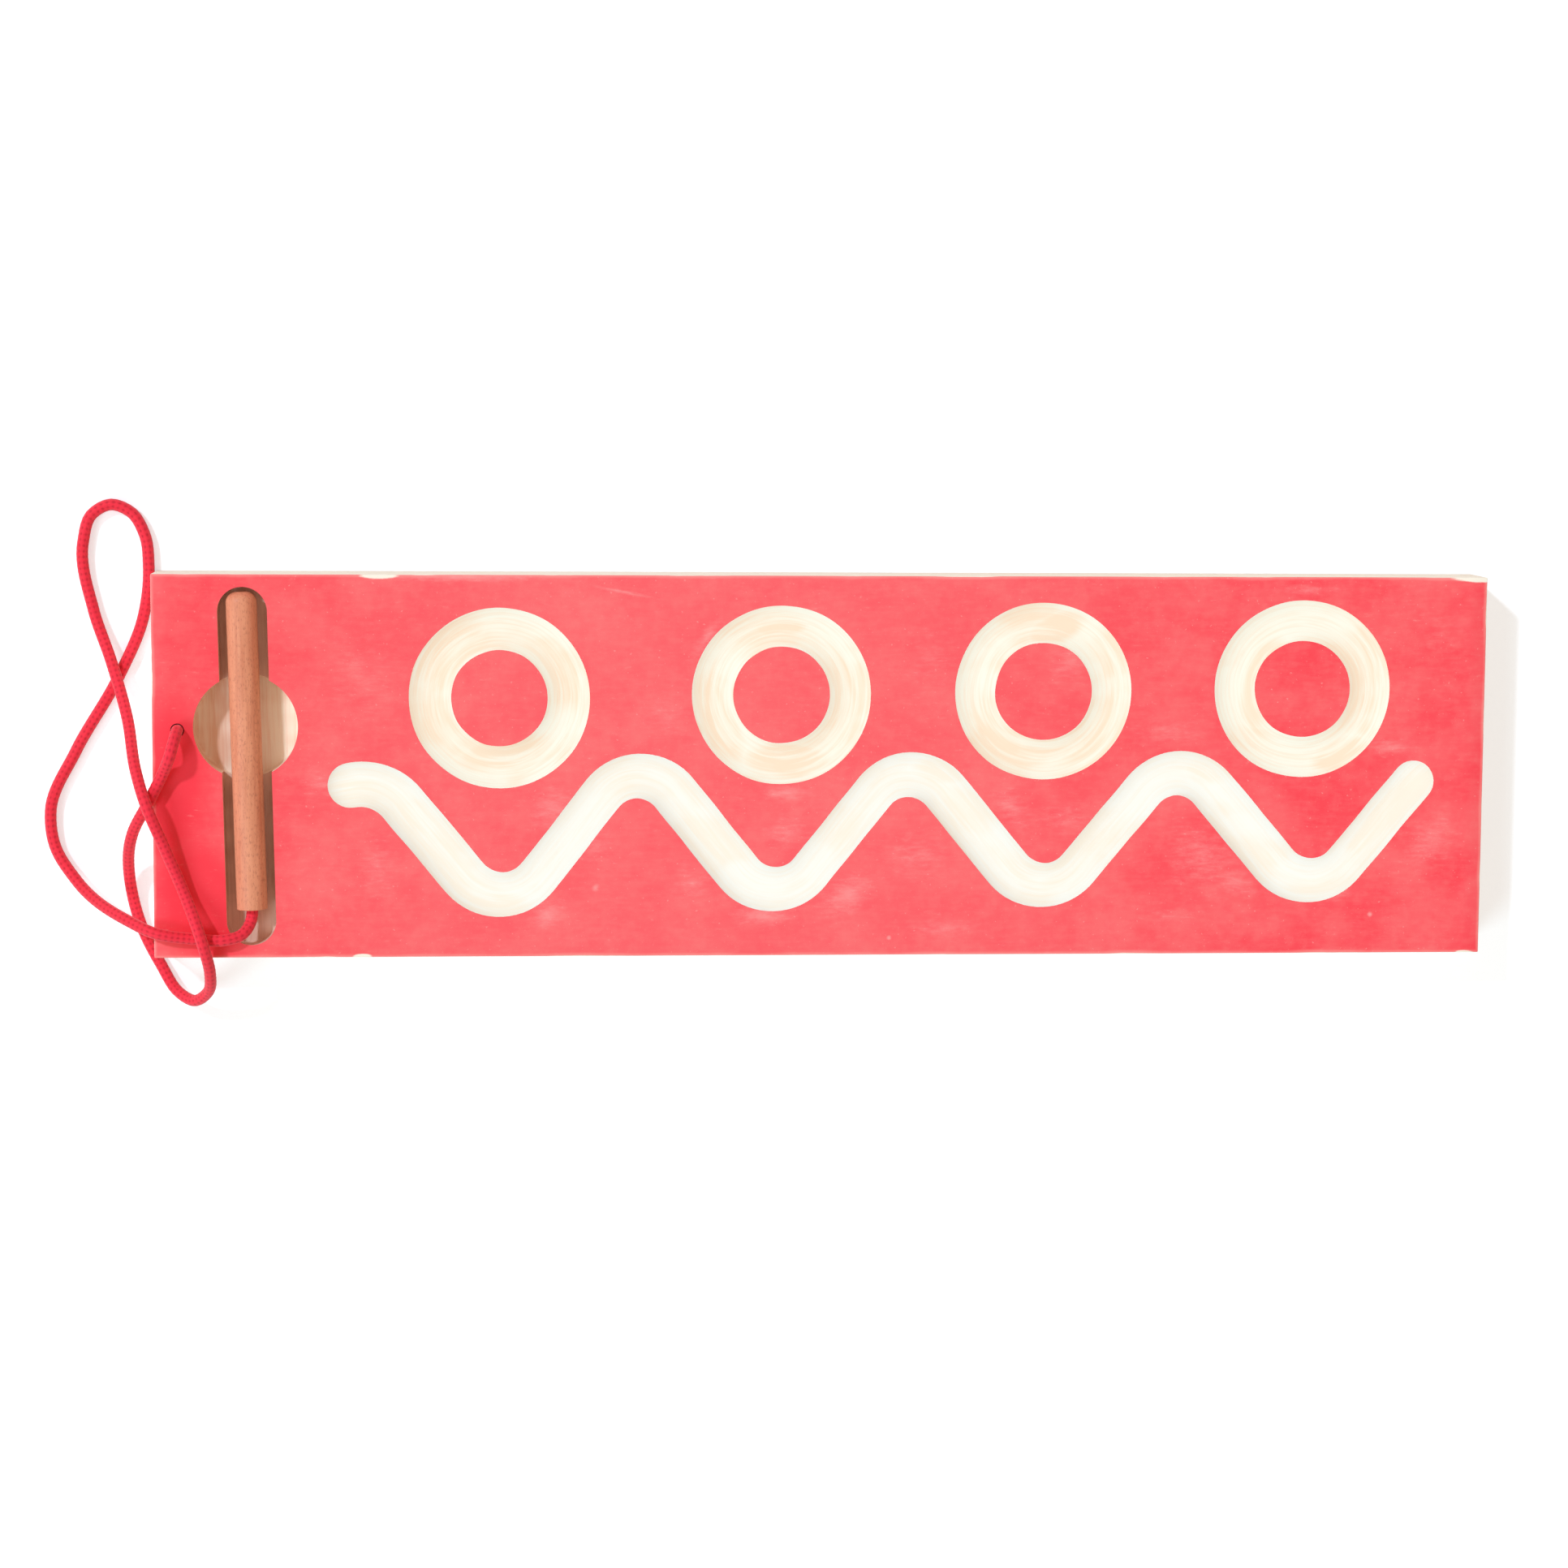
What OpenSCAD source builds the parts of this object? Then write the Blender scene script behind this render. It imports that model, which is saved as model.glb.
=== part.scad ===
// Wooden tracing board: a plank with a painted face, four ring grooves, a wave groove,
// and a dowel stylus that lies in a pocket and is tied on with a red cord.
// The origin is the middle of the underside; +X runs along the board, +Z is up.

/* [Board] */
// Length of the board
board_length = 350; // [340:1:420]
// Width of the board
board_width = 100; // [98:1:130]
// Thickness of the board
board_thickness = 18; // [17:0.5:24]
// Sanded bevel along every edge of the board
edge_bevel = 0.5; // [0.3:0.1:1]
// Thickness of the paint on the face
paint_thickness = 0.2; // [0.1:0.05:0.3]

/* [Ring grooves] */
// Diameter of the round-nosed cutter that made all the grooves
cutter_diameter = 19; // [17:0.5:22]
// Width of a ring groove at the face
ring_groove_width = 10.3; // [9:0.1:11]
// Diameter of a ring, measured midway across its groove
ring_diameter = 36.1; // [34:0.1:38]
// Distance from one ring to the next
ring_spacing = 70.4; // [68:0.1:71]
// Distance of the first ring's centre from the left end
first_ring_inset = 89.8; // [88:0.1:91]
// Distance of the ring row from the far edge, at the first ring
ring_row_inset = 31.5; // [30:0.1:32]
// How much higher each ring sits than the one before it
ring_row_rise = 0.7; // [0:0.1:1]

/* [Wave groove] */
// Width of the wave groove at the face
wave_groove_width = 11.8; // [10:0.1:12.2]
// Distance from one trough to the next
wave_pitch = 71.2; // [70:0.1:71.5]
// Distance of the first trough from the left end
first_trough_inset = 90.3; // [89:0.1:92]
// Distance of the first trough's corner from the near edge
trough_corner_inset = 9.2; // [8.5:0.1:11]
// Height from a trough's corner to a crest's corner, before the bends round them off
wave_corner_height = 45.6; // [43:0.1:46.5]
// How much higher each trough sits than the one before it
trough_rise = 1.2; // [0:0.1:1.5]
// Radius of the bends, along the middle of the groove
wave_bend_radius = 12; // [11.5:0.1:13]
// Distance that the run-in starts ahead of the first trough
wave_run_in = 39.3; // [37:0.1:40]
// Distance that the run-out ends beyond the last trough
wave_run_out = 27.3; // [24:0.1:30]

/* [Stylus] */
// Diameter of the dowel
stylus_diameter = 8; // [7:0.1:9]
// Length of the stylus
stylus_length = 82.8; // [70:0.1:83.5]
// Rounding of the stylus tip
tip_rounding = 2.8; // [2:0.1:3.3]
// Sanded bevel round the flat end
stylus_end_bevel = 0.3; // [0.2:0.1:0.6]
// Depth of the drilled hole that the cord is glued into
cord_socket_depth = 12; // [8:0.5:20]

/* [Stylus pocket] */
// Distance of the pocket's middle from the left end
pocket_inset = 24.3; // [24:0.1:26]
// Clear space on each side of the stylus
pocket_side_gap = 2.4; // [1.5:0.1:2.6]
// Clear space beyond the rounded tip
pocket_tip_gap = 1.3; // [1:0.1:1.5]
// Clear space beyond the flat end, where the cord turns out of the pocket
pocket_cord_room = 9.3; // [9:0.1:9.6]
// How far the stylus stands above the face
stylus_proud = 2.5; // [2:0.1:3.5]
// Turn of the pocket out of square
pocket_turn = 1.3; // [0:0.1:2]
// Diameter of the round finger recess across the pocket
finger_recess_diameter = 27; // [22:0.5:30]
// Depth of the finger recess
finger_recess_depth = 7.5; // [6.8:0.1:9]
// Distance of the finger recess from the pocket's middle, along the pocket
finger_recess_offset = 10.4; // [0:0.1:14]

/* [Tether] */
// Diameter of the cord
cord_diameter = 3; // [2.6:0.1:3.2]
// Distance of the cord's hole from the left end
cord_hole_inset = 6.5; // [6.4:0.1:7.5]
// Distance of the cord's hole above the middle of the board's width
cord_hole_offset = 9.5; // [9:0.1:10]
// Diameter of the knot's pocket under the board
knot_pocket_diameter = 9.5; // [9:0.1:10]
// Depth of the knot's pocket under the board
knot_pocket_depth = 8.5; // [8:0.1:9.5]
// Diameter of the pulled-up knot
knot_diameter = 8.2; // [7.5:0.1:8.4]
// Height of the pulled-up knot
knot_height = 6.8; // [6:0.1:7.4]

/* [Hidden] */
$fn = 96;

// Each named clearance is the gap on one side
cord_hole_gap = 0.5;
cord_socket_gap = 0.05;
stylus_rest_gap = 0.15;
// Cuts run this far past the face that they break through
overrun = 1;
// A straight of the wave is cut a hair slimmer than the bends, and nests this far into them
nest_ease = 0.03;
nest_depth = 0.3;

left_end = -board_length / 2;
near_edge = -board_width / 2;
far_edge = board_width / 2;
cutter_radius = cutter_diameter / 2;

// The rings were set out by hand, so the middle two sit a little to the right
ring_count = 4;
ring_slip = [0, 3.2, 1.6, 0];

// The wave starts on a shallow crest of its own, with a wider bend
trough_count = 4;
first_crest_lead = 30.9;
first_crest_drop = 8.3;
first_crest_radius = 14;
run_in_drop = 9.6;
run_out_drop = 8.9;

pocket_width = stylus_diameter + 2 * pocket_side_gap;
pocket_length = stylus_length + pocket_tip_gap + pocket_cord_room;
pocket_depth = stylus_diameter + stylus_rest_gap - stylus_proud;
// The stylus lies a little askew in its pocket
stylus_skew = 0.3;
stylus_turn = pocket_turn + stylus_skew;
stylus_height = board_thickness - pocket_depth + stylus_rest_gap + stylus_diameter / 2;
stylus_flat_end = -pocket_length / 2 + pocket_cord_room;
stylus_end_middle = [
    left_end + pocket_inset - stylus_flat_end * sin(stylus_turn),
    stylus_flat_end * cos(stylus_turn),
    stylus_height
];
cord_hole_mouth = [left_end + cord_hole_inset, cord_hole_offset, board_thickness];

// The tether's free stretch, between the stylus's end and the mouth of the cord's hole. Each
// point is a distance from the board's left end, a distance from the middle of its width, and
// a height.
CORD_ROUTE = [
    [24.8, -41, 17],
    [22.7, -43.8, 19],
    [18.5, -45, 20.4],
    [11, -44.8, 19.7],
    [0.5, -43.2, 20.2],
    [-6, -40.8, 16.6],
    [-21.5, -31.2, 3.6],
    [-27, -22.5, 1.6],
    [-28, -13, 1.6],
    [-21.3, 2.5, 1.6],
    [-10, 22, 1.6],
    [-3.3, 38, 1.6],
    [-1.8, 51, 1.6],
    [-2.8, 59.5, 1.6],
    [-6.2, 65.2, 1.6],
    [-11.5, 67.2, 1.6],
    [-16.4, 64.6, 1.6],
    [-18.7, 57.5, 1.6],
    [-16.3, 40, 1.7],
    [-11.6, 26.5, 4],
    [-7, 12, 10],
    [-4.2, -1, 18.5],
    [-1.2, -9.5, 23.4],
    [3, -20, 22],
    [8.2, -33, 20.4],
    [13, -46, 23.4],
    [14.4, -54, 18.5],
    [13.3, -60, 12],
    [9, -63, 6.8],
    [4.5, -60.8, 3.2],
    [0.5, -54.5, 1.7],
    [-5.3, -42, 1.6],
    [-7.5, -29, 4.8],
    [-5.7, -18, 13.5],
    [-0.8, -8.8, 19.7],
    [3.2, -0.8, 21],
    [5, 3.5, 23.8],
    [6.1, 7.6, 22.2]
];
// Height of the cord's middle where it rests on the table
cord_rest_height = cord_diameter / 2 + 0.1;
// Length of tube from one ring of corners to the next
cord_ring_step = 6.5;
cord_sides = 8;

function unit(v) = v / norm(v);
function groove_depth(width) = cutter_radius - sqrt(cutter_radius ^ 2 - (width / 2) ^ 2);
function cutter_height(width) = board_thickness - groove_depth(width) + cutter_radius;

function ring_centre(i) = [
    left_end + first_ring_inset + i * ring_spacing + ring_slip[i],
    far_edge - ring_row_inset + i * ring_row_rise
];

first_trough = [left_end + first_trough_inset, near_edge + trough_corner_inset];
last_trough = first_trough + (trough_count - 1) * [wave_pitch, trough_rise];
crest_level = first_trough.y + wave_corner_height;

// The wave's corners, from the run-in on the left to the run-out on the right
wave_corners = concat(
    [[first_trough.x - wave_run_in, crest_level - run_in_drop]],
    [[first_trough.x - first_crest_lead, crest_level - first_crest_drop]],
    [for (i = [0 : 2 * trough_count - 2])
        i % 2 == 0
            ? first_trough + i / 2 * [wave_pitch, trough_rise]
            : [first_trough.x + i / 2 * wave_pitch, crest_level]],
    [[last_trough.x + wave_run_out, crest_level - run_out_drop]]
);

function bend_radius(i) = i == 1 ? first_crest_radius : wave_bend_radius;
function back(i) = unit(wave_corners[i - 1] - wave_corners[i]);
function ahead(i) = unit(wave_corners[i + 1] - wave_corners[i]);
function half_angle(i) = acos(back(i) * ahead(i)) / 2;
function is_bend(i) = i > 0 && i < len(wave_corners) - 1;
// Distance from a corner to where its bend starts and ends
function setback(i) = is_bend(i) ? bend_radius(i) / tan(half_angle(i)) : 0;
function bend_centre(i) =
    wave_corners[i] + unit(back(i) + ahead(i)) * bend_radius(i) / sin(half_angle(i));

module board_blank() {
    intersection() {
        translate([0, 0, -overrun])
            linear_extrude(board_thickness + 2 * overrun)
                bevelled_rectangle(board_length, board_width);
        translate([-board_length, 0, board_thickness / 2])
            rotate([90, 0, 90])
                linear_extrude(2 * board_length)
                    bevelled_rectangle(board_width, board_thickness);
        translate([0, board_width, board_thickness / 2])
            rotate([90, 0, 0])
                linear_extrude(2 * board_width)
                    bevelled_rectangle(board_length, board_thickness);
    }
}

module bevelled_rectangle(length, width) {
    x = length / 2;
    y = width / 2;
    b = edge_bevel;
    polygon([
        [-x + b, -y], [x - b, -y], [x, -y + b], [x, y - b],
        [x - b, y], [-x + b, y], [-x, y - b], [-x, -y + b]
    ]);
}

module ring_cut(centre) {
    translate([centre.x, centre.y, cutter_height(ring_groove_width)])
        rotate_extrude()
            translate([ring_diameter / 2, 0])
                circle(cutter_radius);
}

module wave_straight(i) {
    start = wave_corners[i] + ahead(i) * (setback(i) - nest_depth);
    end = wave_corners[i + 1] - ahead(i) * (setback(i + 1) - nest_depth);
    heading = atan2(ahead(i).y, ahead(i).x);
    translate(start)
        rotate([90, 0, heading + 90])
            cylinder(r = cutter_radius - nest_ease, h = norm(end - start));
}

module wave_bend(i) {
    sweep = 180 - 2 * half_angle(i);
    outward = -unit(back(i) + ahead(i));
    translate(bend_centre(i))
        rotate([0, 0, atan2(outward.y, outward.x) - sweep / 2])
            rotate_extrude(angle = sweep)
                translate([bend_radius(i), 0])
                    circle(cutter_radius);
}

// Half of the cutter's ball, whose flat side meets the end of a straight
module wave_end(place, heading) {
    translate(place)
        rotate([0, 0, heading - 90])
            rotate_extrude(angle = 180)
                intersection() {
                    circle(cutter_radius);
                    translate([0, -cutter_radius])
                        square([cutter_radius, 2 * cutter_radius]);
                }
}

module wave_cut() {
    last = len(wave_corners) - 1;
    first_heading = atan2(ahead(0).y, ahead(0).x);
    last_heading = atan2(ahead(last - 1).y, ahead(last - 1).x);
    translate([0, 0, cutter_height(wave_groove_width)]) {
        for (i = [0 : last - 1]) wave_straight(i);
        for (i = [1 : last - 1]) wave_bend(i);
        wave_end(wave_corners[0], first_heading + 180);
        wave_end(wave_corners[last], last_heading);
    }
}

module at_pocket() {
    translate([left_end + pocket_inset, 0, 0])
        rotate([0, 0, pocket_turn])
            children();
}

module pocket_cut() {
    straight = pocket_length - pocket_width;
    at_pocket()
        translate([0, 0, board_thickness - pocket_depth]) {
            linear_extrude(pocket_depth + overrun) {
                square([pocket_width, straight], center = true);
                for (side = [-1, 1])
                    translate([0, side * straight / 2])
                        circle(pocket_width / 2);
            }
        }
    at_pocket()
        translate([0, finger_recess_offset, board_thickness - finger_recess_depth])
            cylinder(d = finger_recess_diameter, h = finger_recess_depth + overrun);
}

module at_cord_hole() {
    translate([left_end + cord_hole_inset, cord_hole_offset, 0])
        children();
}

module cord_hole_cut() {
    at_cord_hole() {
        translate([0, 0, -overrun])
            cylinder(d = cord_diameter + 2 * cord_hole_gap, h = board_thickness + 2 * overrun);
        translate([0, 0, -overrun])
            cylinder(d = knot_pocket_diameter, h = knot_pocket_depth + overrun);
    }
}

module all_cuts() {
    for (i = [0 : ring_count - 1]) ring_cut(ring_centre(i));
    wave_cut();
    pocket_cut();
    cord_hole_cut();
}

// A slice of the plank between two heights
module plank_slice(low, high) {
    intersection() {
        board_blank();
        translate([-board_length, -board_width, low])
            cube([2 * board_length, 2 * board_width, high - low]);
    }
}

// The plank of pale wood, up to the underside of the paint
module board() {
    color([0.95, 0.86, 0.72])
        difference() {
            plank_slice(0, board_thickness - paint_thickness);
            all_cuts();
        }
}

// The red paint, which the grooves, the pocket and the hole were cut through
module face_paint() {
    color([0.93, 0.24, 0.28])
        difference() {
            plank_slice(board_thickness - paint_thickness, board_thickness);
            all_cuts();
        }
}

// Places a piece on the stylus's axis, with its flat end at zero and its tip along +Z
module at_stylus() {
    at_pocket()
        translate([0, 0, stylus_height])
            rotate([0, 0, stylus_turn - pocket_turn])
                translate([0, stylus_flat_end, 0])
                    rotate([-90, 0, 0])
                        children();
}

module stylus_profile() {
    r = stylus_diameter / 2;
    b = stylus_end_bevel;
    polygon([
        [0, 0], [r - b, 0], [r, b],
        [r, stylus_length - tip_rounding],
        [r - tip_rounding, stylus_length], [0, stylus_length]
    ]);
    translate([r - tip_rounding, stylus_length - tip_rounding])
        intersection() {
            circle(tip_rounding);
            square(tip_rounding);
        }
}

// The dowel, with a rounded tip and a drilled hole in its flat end
module stylus() {
    color([0.78, 0.5, 0.37])
        at_stylus()
            difference() {
                rotate_extrude() stylus_profile();
                translate([0, 0, -overrun])
                    cylinder(
                        d = cord_diameter + 2 * cord_socket_gap,
                        h = cord_socket_depth + overrun
                    );
            }
}

// The end of the cord that is glued into the stylus
module stylus_cord_end() {
    color([0.78, 0.08, 0.13])
        at_stylus()
            cylinder(d = cord_diameter, h = cord_socket_depth);
}

route = concat(
    [stylus_end_middle],
    [for (p = CORD_ROUTE) p + [left_end, 0, 0]],
    [cord_hole_mouth]
);
last_leg = len(route) - 2;

// Direction of the cord at a route point, leaning to the nearer neighbour
function route_heading(i) =
    i == 0 ? [sin(stylus_turn), -cos(stylus_turn), 0]
    : i > last_leg ? [0, 0, -1]
    : let (
        a = route[i] - route[i - 1],
        b = route[i + 1] - route[i]
    ) (unit(a) * norm(b) + unit(b) * norm(a)) / (norm(a) + norm(b));

// A smooth curve through two neighbouring route points, at t from 0 to 1
function route_curve(i, t) =
    let (
        p = route[i],
        q = route[i + 1],
        span = norm(q - p),
        c = (2 * t ^ 3 - 3 * t ^ 2 + 1) * p + (3 * t ^ 2 - 2 * t ^ 3) * q
            + (t ^ 3 - 2 * t ^ 2 + t) * span * route_heading(i)
            + (t ^ 3 - t ^ 2) * span * route_heading(i + 1)
    ) [c.x, c.y, max(c.z, cord_rest_height)];

function steps(i) = max(1, round(norm(route[i + 1] - route[i]) / cord_ring_step));

cord_line = concat(
    [for (i = [0 : last_leg], k = [0 : steps(i) - 1]) route_curve(i, k / steps(i))],
    [cord_hole_mouth]
);

function line_heading(i) =
    i == 0 ? route_heading(0)
    : i == len(cord_line) - 1 ? [0, 0, -1]
    : unit(unit(cord_line[i] - cord_line[i - 1]) + unit(cord_line[i + 1] - cord_line[i]));

// Each ring's first corner direction is the one before it, turned square to the cord
function square_to(side, heading) = unit(side - (side * heading) * heading);
cord_sides_at = [
    for (i = 0, s = square_to([0, 0, 1], line_heading(0));
        i < len(cord_line);
        i = i + 1, s = i < len(cord_line) ? square_to(s, line_heading(i)) : s) s
];

function ring_corner(i, k) =
    let (turn = 360 * k / cord_sides)
    cord_line[i] + cord_diameter / 2 * (
        cos(turn) * cord_sides_at[i]
        + sin(turn) * cross(line_heading(i), cord_sides_at[i])
    );

// The free stretch of the tether, as one swept tube
module tether_cord() {
    rings = len(cord_line);
    n = cord_sides;
    corners = [for (i = [0 : rings - 1], k = [0 : n - 1]) ring_corner(i, k)];
    skin = [
        for (i = [0 : rings - 2], k = [0 : n - 1])
            let (a = i * n + k, b = i * n + (k + 1) % n)
            each [[a, a + n, b + n], [a, b + n, b]]
    ];
    start_cap = [for (k = [1 : n - 2]) [0, k, k + 1]];
    first = (rings - 1) * n;
    end_cap = [for (k = [1 : n - 2]) [first, first + k + 1, first + k]];
    color([0.82, 0.1, 0.16])
        polyhedron(points = corners, faces = concat(skin, start_cap, end_cap));
}

// The tail of the cord in the board's hole, with the knot that stops it from below
module tether_knot() {
    color([0.78, 0.08, 0.13])
        at_cord_hole() {
            translate([0, 0, knot_pocket_depth - cord_diameter / 2])
                cylinder(
                    d = cord_diameter,
                    h = board_thickness - knot_pocket_depth + cord_diameter / 2
                );
            translate([0, 0, knot_pocket_depth - knot_height])
                rotate_extrude()
                    knot_profile();
        }
}

module knot_profile() {
    r = knot_height / 2;
    square([knot_diameter / 2 - r, knot_height]);
    translate([knot_diameter / 2 - r, r])
        intersection() {
            circle(r);
            translate([0, -r])
                square([r, knot_height]);
        }
}

board();
face_paint();
stylus();
stylus_cord_end();
tether_cord();
tether_knot();
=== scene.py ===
import math

import bmesh
import bpy
from mathutils import Matrix, Vector, noise


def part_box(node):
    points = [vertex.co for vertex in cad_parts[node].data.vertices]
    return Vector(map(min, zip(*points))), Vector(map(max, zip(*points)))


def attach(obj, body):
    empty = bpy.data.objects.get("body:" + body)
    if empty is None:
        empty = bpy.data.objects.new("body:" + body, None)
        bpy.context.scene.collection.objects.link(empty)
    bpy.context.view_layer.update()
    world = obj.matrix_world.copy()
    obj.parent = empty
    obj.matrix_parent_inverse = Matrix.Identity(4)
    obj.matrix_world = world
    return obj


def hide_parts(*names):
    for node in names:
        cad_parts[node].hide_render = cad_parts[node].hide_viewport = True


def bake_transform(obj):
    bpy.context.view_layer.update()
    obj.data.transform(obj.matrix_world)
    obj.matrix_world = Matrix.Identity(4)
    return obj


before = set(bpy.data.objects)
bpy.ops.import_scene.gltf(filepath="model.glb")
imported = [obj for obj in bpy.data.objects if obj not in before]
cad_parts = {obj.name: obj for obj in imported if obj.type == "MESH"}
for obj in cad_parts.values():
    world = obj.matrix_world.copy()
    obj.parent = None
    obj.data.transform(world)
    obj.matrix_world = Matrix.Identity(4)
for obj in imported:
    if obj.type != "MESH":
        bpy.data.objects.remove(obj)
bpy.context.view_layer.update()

# Camera. The board was photographed from a metre up, a little to the left of its middle,
# so a thin line of its far side shows above the painted face.
mm = 0.001
eye = bpy.data.cameras.new("eye")
eye.sensor_width = 36
eye.lens = 88.5
camera = bpy.data.objects.new("camera", eye)
camera.location = (-84.1 * mm, 102.25 * mm, 1019.84 * mm)
camera.rotation_euler = (math.radians(-6.1), math.radians(-4.135), math.radians(0.37))
bpy.context.scene.collection.objects.link(camera)
bpy.context.scene.camera = camera

# Tether cord. A limp braided cord, 3 mm thick and dyed red, runs from the stylus's flat end,
# round on the table in two loops, back over itself and down into the hole in the face.
# It is held only at its two ends, so it lies as it fell.
left_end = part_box("board")[0].x
face_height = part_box("face_paint")[1].z
cord_diameter = 3 * mm
cord_rest_height = cord_diameter / 2 + 0.1 * mm
cord_ring_step = 0.3 * mm
cord_sides = 32
braid_pitch = 3 * mm
braid_picks = 4
braid_relief = 0.035 * mm
braid_crease = 80
weld_gap = 0.001 * mm

stylus_turn = math.radians(1.6)
along_stylus = Vector((-math.sin(stylus_turn), math.cos(stylus_turn), 0))
pocket_inset = 24.3 * mm
stylus_flat_end = -37.4 * mm
stylus_axis_height = 16.5 * mm
above_pocket = Vector((left_end + pocket_inset, 0, stylus_axis_height))
stylus_end_middle = above_pocket + along_stylus * stylus_flat_end
cord_hole_inset = 6.5 * mm
cord_hole_offset = 9.5 * mm
cord_hole_mouth = Vector((left_end + cord_hole_inset, cord_hole_offset, face_height))

# Each point is a distance from the board's left end, one from the middle of its width, and a height
cord_route = [
    (24.8, -41, 17), (22.7, -43.8, 19), (18.5, -45, 20.4), (11, -44.8, 19.7), (0.5, -43.2, 20.2),
    (-6, -40.8, 16.6), (-21.5, -31.2, 3.6), (-27, -22.5, 1.6), (-28, -13, 1.6), (-21.3, 2.5, 1.6),
    (-10, 22, 1.6), (-3.3, 38, 1.6), (-1.8, 51, 1.6), (-2.8, 59.5, 1.6), (-6.2, 65.2, 1.6),
    (-11.5, 67.2, 1.6), (-16.4, 64.6, 1.6), (-18.7, 57.5, 1.6), (-16.3, 40, 1.7), (-11.6, 26.5, 4),
    (-7, 12, 10), (-4.2, -1, 18.5), (-1.2, -9.5, 23.4), (3, -20, 22), (8.2, -33, 20.4),
    (13, -46, 23.4), (14.4, -54, 18.5), (13.3, -60, 12), (9, -63, 6.8), (4.5, -60.8, 3.2),
    (0.5, -54.5, 1.7), (-5.3, -42, 1.6), (-7.5, -29, 4.8), (-5.7, -18, 13.5), (-0.8, -8.8, 19.7),
    (3.2, -0.8, 21), (5, 3.5, 23.8), (6.1, 7.6, 22.2),
]
route = [
    stylus_end_middle,
    *(Vector((left_end + x * mm, y * mm, z * mm)) for x, y, z in cord_route),
    cord_hole_mouth,
]


def smooth_line(points, first_heading, last_heading, step, floor=-1.0):
    """Points a step apart on a smooth curve through the given ones, none of them below the floor."""
    headings = [Vector(first_heading)]
    for before, here, after in zip(points, points[1:], points[2:]):
        a = here - before
        b = after - here
        headings.append((a.normalized() * b.length + b.normalized() * a.length) / (a.length + b.length))
    headings.append(Vector(last_heading))
    line = []
    for p, q, leaving, arriving in zip(points, points[1:], headings, headings[1:]):
        span = (q - p).length
        steps = max(1, round(span / step))
        for k in range(steps):
            t = k / steps
            line.append(
                (2 * t**3 - 3 * t**2 + 1) * p
                + (3 * t**2 - 2 * t**3) * q
                + (t**3 - 2 * t**2 + t) * span * leaving
                + (t**3 - t**2) * span * arriving
            )
    line.append(points[-1].copy())
    for point in line:
        point.z = max(point.z, floor)
    return line


def tube(line, radius_at, sides, side=Vector((0, 0, 1))):
    """A closed tube round a line of points, with a UV map in metres, along the line and round it."""
    last = len(line) - 1
    closed = (line[0] - line[last]).length < weld_gap
    headings = []
    for i in range(last + 1):
        ahead = line[1] if closed and i == last else line[min(i + 1, last)]
        behind = line[last - 1] if closed and i == 0 else line[max(i - 1, 0)]
        headings.append((ahead - behind).normalized())
    across = []
    for heading in headings:
        square = (side - side.dot(heading) * heading).normalized()
        across.append(square)
        side = side if closed else square
    travelled = [0.0]
    for here, there in zip(line, line[1:]):
        travelled.append(travelled[-1] + (there - here).length)
    girth = 2 * math.pi * radius_at(travelled[last] / 2, 0)

    body = bmesh.new()
    uv = body.loops.layers.uv.new("surface")
    bmesh.ops.create_grid(body, x_segments=last, y_segments=sides, size=1)

    def spot(vert):
        return round((vert.co.x + 1) / 2 * last), (vert.co.y + 1) / 2

    for face in body.faces:
        for loop in face.loops:
            station, turn = spot(loop.vert)
            loop[uv].uv = (travelled[station], turn * girth)
    for vert in body.verts:
        station, turn = spot(vert)
        angle = 2 * math.pi * turn
        level = headings[station].cross(across[station])
        outward = math.cos(angle) * across[station] + math.sin(angle) * level
        vert.co = line[station] + radius_at(travelled[station], turn) * outward
    bmesh.ops.remove_doubles(body, verts=body.verts, dist=weld_gap)
    bmesh.ops.holes_fill(body, edges=body.edges, sides=0)
    bmesh.ops.recalc_face_normals(body, faces=body.faces)
    return body


def piece(name, body, finish, crease=30):
    """The finished object of a mesh in the making, smooth but where it turns by more than the crease."""
    mesh = bpy.data.meshes.new(name)
    body.to_mesh(mesh)
    body.free()
    mesh.shade_smooth()
    mesh.set_sharp_from_angle(angle=math.radians(crease))
    mesh.materials.append(finish)
    made = bpy.data.objects.new(name, mesh)
    bpy.context.scene.collection.objects.link(made)
    return made


def tone(red, green, blue):
    """A colour as a screen shows it, from 0 to 255, in the numbers that a shader takes."""
    def light(value):
        share = value / 255
        return share / 12.92 if share <= 0.04045 else ((share + 0.055) / 1.055) ** 2.4
    return (light(red), light(green), light(blue), 1)


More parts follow.
